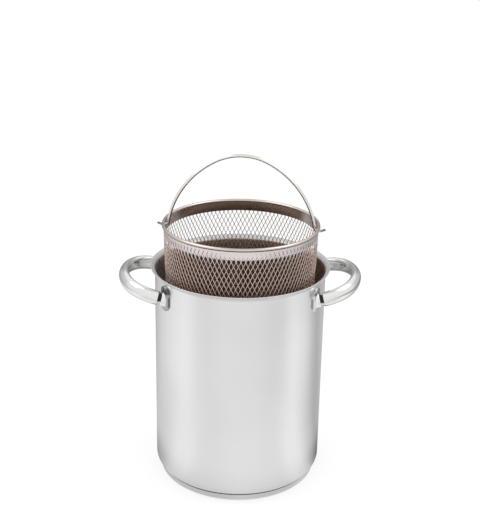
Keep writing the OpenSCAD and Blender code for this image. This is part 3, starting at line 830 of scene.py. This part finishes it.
# Solids that stay as they are, with their finish
for node, finish in (("base_core", CORE_ALUMINIUM), ("basket_band", BAND_STEEL)):
    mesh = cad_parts[node].data
    mesh.materials.clear()
    mesh.materials.append(finish)


# Studio, in metres and degrees

FLOOR_R, FLOOR_STEPS, PAPER_GLOW = 4.0, 96, 0.72
# The gloss ring's sheet reaches from under the pot to the wall, a little over the floor
RING_NEAR, RING_FAR, RING_TOP, RING_LIFT, RING_STEPS = 0.0768, 1.3, 0.9, 0.001, 120
# Where tones turn into the next ones: by distance on the sheet, by height on the wall
CLOSE_FADE, FLOOR_FADE, FAR_FADE = (0.08, 0.14), (0.12, 0.42), (0.57, 0.7)
WALL_FADE, SKY_FADE = (0.0, 0.1), (0.5, 0.9)
# A softbox on each side, given as the right one
SOFTBOX_AT, SOFTBOX_AIM = (1.0, -0.1, 1.45), (0.1, 0, 0.19)
SOFTBOX_W, SOFTBOX_H, SOFTBOX_WATTS = 0.9, 1.2, 4.5
FOCAL_MM, SENSOR_MM = 73.65, 36.0
CAMERA_AT, CAMERA_DOWN, CAMERA_ROLL, CAMERA_ROUND = (-0.00042, -0.94108, 0.57283), 20.774, 1.007, -1.15

# Brightness by azimuth, where 0 is the camera's side and 90 is +X: of the sheet right by the pot as a share
# of its next tone, of the sheet close to the pot, further out and far out, of the wall and of its top
# The sheet right by the pot is a painted shadow of the pot, which only gloss sees.
CLOSE_TONES = ((-180, 0.34), (-138, 0.28), (-110, 0.34), (-85, 0.46), (-65, 0.72), (0, 0.86), (55, 0.8),
               (72, 0.68), (82, 0.4), (95, 0.14), (125, 0.12), (150, 0.3), (180, 0.34))
FOOT_TONES = ((-180, 0.28), (-150, 0.5), (-135, 0.54), (-118, 0.66), (-97, 0.76), (-85, 0.85), (-70, 1.0),
              (-52, 1.02), (-42, 0.94), (-30, 0.92), (0, 0.96), (30, 0.91), (42, 0.92), (54, 1.04),
              (68, 1.02), (80, 0.84), (92, 0.66), (106, 0.46), (122, 0.5), (140, 0.6), (180, 0.28))
FLOOR_TONES = ((-180, 0.2), (-168, 0.25), (-156, 0.46), (-140, 0.62), (-118, 0.86), (-97, 1.0), (-74, 1.08),
               (-63, 1.0), (-53, 0.85), (-40, 0.82), (-20, 0.87), (22, 0.87), (42, 0.81), (54, 0.84),
               (63, 1.0), (72, 1.1), (92, 0.98), (106, 0.68), (119, 0.48), (136, 0.62), (150, 0.58),
               (164, 0.35), (180, 0.2))
FAR_TONES = ((-180, 0.2), (-150, 0.3), (-110, 0.6), (-80, 0.82), (-40, 0.95), (0, 1.0), (28, 0.88),
             (50, 0.62), (75, 0.44), (100, 0.38), (130, 0.28), (180, 0.2))
WALL_TONES = ((-180, 0.4), (-150, 0.36), (-140, 0.6), (-110, 0.7), (-95, 0.95), (95, 0.95), (110, 0.7),
              (140, 0.6), (150, 0.36), (180, 0.4))
SKY_TONES = ((-180, 0.6), (-150, 0.5), (-135, 0.8), (-90, 1.0), (90, 1.0), (135, 0.8), (150, 0.5),
             (180, 0.6))


def white_paper():
    """White paper, which camera and gloss see mostly as plain white, with part of its shadows kept."""
    made, tree = material("white_paper")
    paper = add(tree, "ShaderNodeBsdfDiffuse", {"Color": linear("#FFFFFF")})
    plain = add(tree, "ShaderNodeEmission", {"Color": linear("#FFFFFF"), "Strength": 1.0})
    ray = add(tree, "ShaderNodeLightPath").outputs
    seen = add(tree, "ShaderNodeMath", {0: ray["Is Camera Ray"], 1: ray["Is Glossy Ray"]},
               operation="MAXIMUM")
    seen = add(tree, "ShaderNodeMath", {0: seen, 1: ray["Is Transmission Ray"]}, operation="MAXIMUM")
    share = add(tree, "ShaderNodeMath", {0: seen, 1: PAPER_GLOW}, operation="MULTIPLY")
    both = add(tree, "ShaderNodeMixShader", {"Fac": share, 1: paper, 2: plain})
    add(tree, "ShaderNodeOutputMaterial", {"Surface": both})
    return made


def graded_room():
    """The tones of the gloss ring's sheet and wall, which depend on azimuth, distance and height."""
    made, tree = material("graded_sheet")
    spot = add(tree, "ShaderNodeTexCoord").outputs["Object"]
    place = add(tree, "ShaderNodeSeparateXYZ", {"Vector": spot}).outputs
    radius = add(tree, "ShaderNodeVectorMath", {0: spot}, operation="LENGTH")
    front = add(tree, "ShaderNodeMath", {0: place["Y"], 1: -1.0}, operation="MULTIPLY")
    azimuth = add(tree, "ShaderNodeMath", {0: place["X"], 1: front}, operation="ARCTAN2")
    turn = add(tree, "ShaderNodeMapRange", {"Value": azimuth, "From Min": -math.pi, "From Max": math.pi})

    def graded(tones):
        ramp = add(tree, "ShaderNodeValToRGB", {"Fac": turn})
        for angle, tone in tones[1:-1]:
            ramp.color_ramp.elements.new((angle + 180) / 360)
        for element, (angle, tone) in zip(ramp.color_ramp.elements, tones):
            element.color = (tone, tone, tone, 1)
        return ramp

    def blend(value, fade, first, second):
        share = add(tree, "ShaderNodeMapRange", {"Value": value, "From Min": fade[0], "From Max": fade[1]},
                    interpolation_type="SMOOTHSTEP")
        return add(tree, "ShaderNodeMix", {"Factor": share, "A": first, "B": second}, data_type="RGBA")

    sheet = blend(radius, FLOOR_FADE, graded(FOOT_TONES), graded(FLOOR_TONES))
    sheet = blend(radius, FAR_FADE, sheet, graded(FAR_TONES))
    close = blend(radius, CLOSE_FADE, graded(CLOSE_TONES), linear("#FFFFFF"))
    sheet = add(tree, "ShaderNodeMix", {"Factor": 1.0, "A": sheet, "B": close},
                data_type="RGBA", blend_type="MULTIPLY")
    wall = blend(place["Z"], SKY_FADE, graded(WALL_TONES), graded(SKY_TONES))
    tone = blend(place["Z"], WALL_FADE, sheet, wall)
    shade = add(tree, "ShaderNodeEmission", {"Color": tone, "Strength": 1.0})
    add(tree, "ShaderNodeOutputMaterial", {"Surface": shade})
    return made


def stage_mesh(name, shape, finish):
    """A sheet that isn't part of the object."""
    points, faces = shape
    mesh = bpy.data.meshes.new(name)
    mesh.from_pydata(points, [], faces)
    mesh.materials.append(finish)
    made = bpy.data.objects.new(name, mesh)
    bpy.context.scene.collection.objects.link(made)
    return made


def gloss_ring():
    """The room as only gloss sees it: a graded sheet on the floor round the pot, which ends in a wall. The
    wall is dark to both sides behind the pot, and draws the thin dark lines along polished edges."""
    outline = [(RING_NEAR, RING_LIFT), (RING_FAR, RING_LIFT), (RING_FAR, RING_TOP)]
    ring = stage_mesh("gloss_ring", turned(outline, closed=False, steps=RING_STEPS), graded_room())
    ring.visible_camera = ring.visible_diffuse = ring.visible_shadow = ring.visible_transmission = False


def softbox(name, location, aim):
    """A lamp that lights from above and beside the pot, and shows in its polished parts."""
    lamp = bpy.data.lights.new(name, "AREA")
    lamp.shape, lamp.size, lamp.size_y, lamp.energy = "RECTANGLE", SOFTBOX_W, SOFTBOX_H, SOFTBOX_WATTS
    made = bpy.data.objects.new(name, lamp)
    made.location = location
    made.rotation_mode = "QUATERNION"
    made.rotation_quaternion = (Vector(aim) - Vector(location)).to_track_quat("-Z", "Y")
    bpy.context.scene.collection.objects.link(made)


def room():
    """The room is plain white, and gloss sees its ceiling a little darker."""
    world = bpy.data.worlds.new("studio")
    bpy.context.scene.world = world
    world.use_nodes = True
    tree = world.node_tree
    tree.nodes.clear()
    white = add(tree, "ShaderNodeBackground", {"Color": linear("#FFFFFF"), "Strength": 1.0})
    direction = add(tree, "ShaderNodeTexCoord").outputs["Generated"]
    height = add(tree, "ShaderNodeSeparateXYZ", {"Vector": direction}).outputs["Z"]
    fall = add(tree, "ShaderNodeMapRange",
               {"Value": height, "From Min": 0.88, "From Max": 0.97, "To Min": 1.0, "To Max": 0.72})
    ceiling = add(tree, "ShaderNodeBackground", {"Color": linear("#FFFFFF"), "Strength": fall})
    glossy = add(tree, "ShaderNodeLightPath").outputs["Is Glossy Ray"]
    mixed = add(tree, "ShaderNodeMixShader", {"Fac": glossy, 1: white, 2: ceiling})
    add(tree, "ShaderNodeOutputWorld", {"Surface": mixed})


def camera():
    """The camera in front of the pot, which looks down on it and is rolled by a degree."""
    lens = bpy.data.cameras.new("camera")
    lens.lens, lens.sensor_width, lens.sensor_fit = FOCAL_MM, SENSOR_MM, "AUTO"
    lens.clip_start, lens.clip_end = 0.01, 50.0
    made = bpy.data.objects.new("camera", lens)
    round_pot = Matrix.Rotation(math.radians(CAMERA_ROUND), 4, "Z")
    down = Matrix.Rotation(math.radians(90 - CAMERA_DOWN), 4, "X")
    roll = Matrix.Rotation(math.radians(CAMERA_ROLL), 4, "Z")
    made.matrix_world = round_pot @ Matrix.Translation(CAMERA_AT) @ down @ roll
    bpy.context.scene.collection.objects.link(made)
    bpy.context.scene.camera = made


floor = [(x, y, 0) for x, y in arc(0, 0, FLOOR_R, 0, 360, FLOOR_STEPS)[:-1]]
stage_mesh("floor", (floor, [list(range(FLOOR_STEPS))]), white_paper())
gloss_ring()
for side, sx in (("left", -1), ("right", 1)):
    softbox(side + "_softbox", *mirrored((SOFTBOX_AT, SOFTBOX_AIM), sx, 1))
room()
camera()
bpy.context.scene.view_settings.view_transform = "Standard"
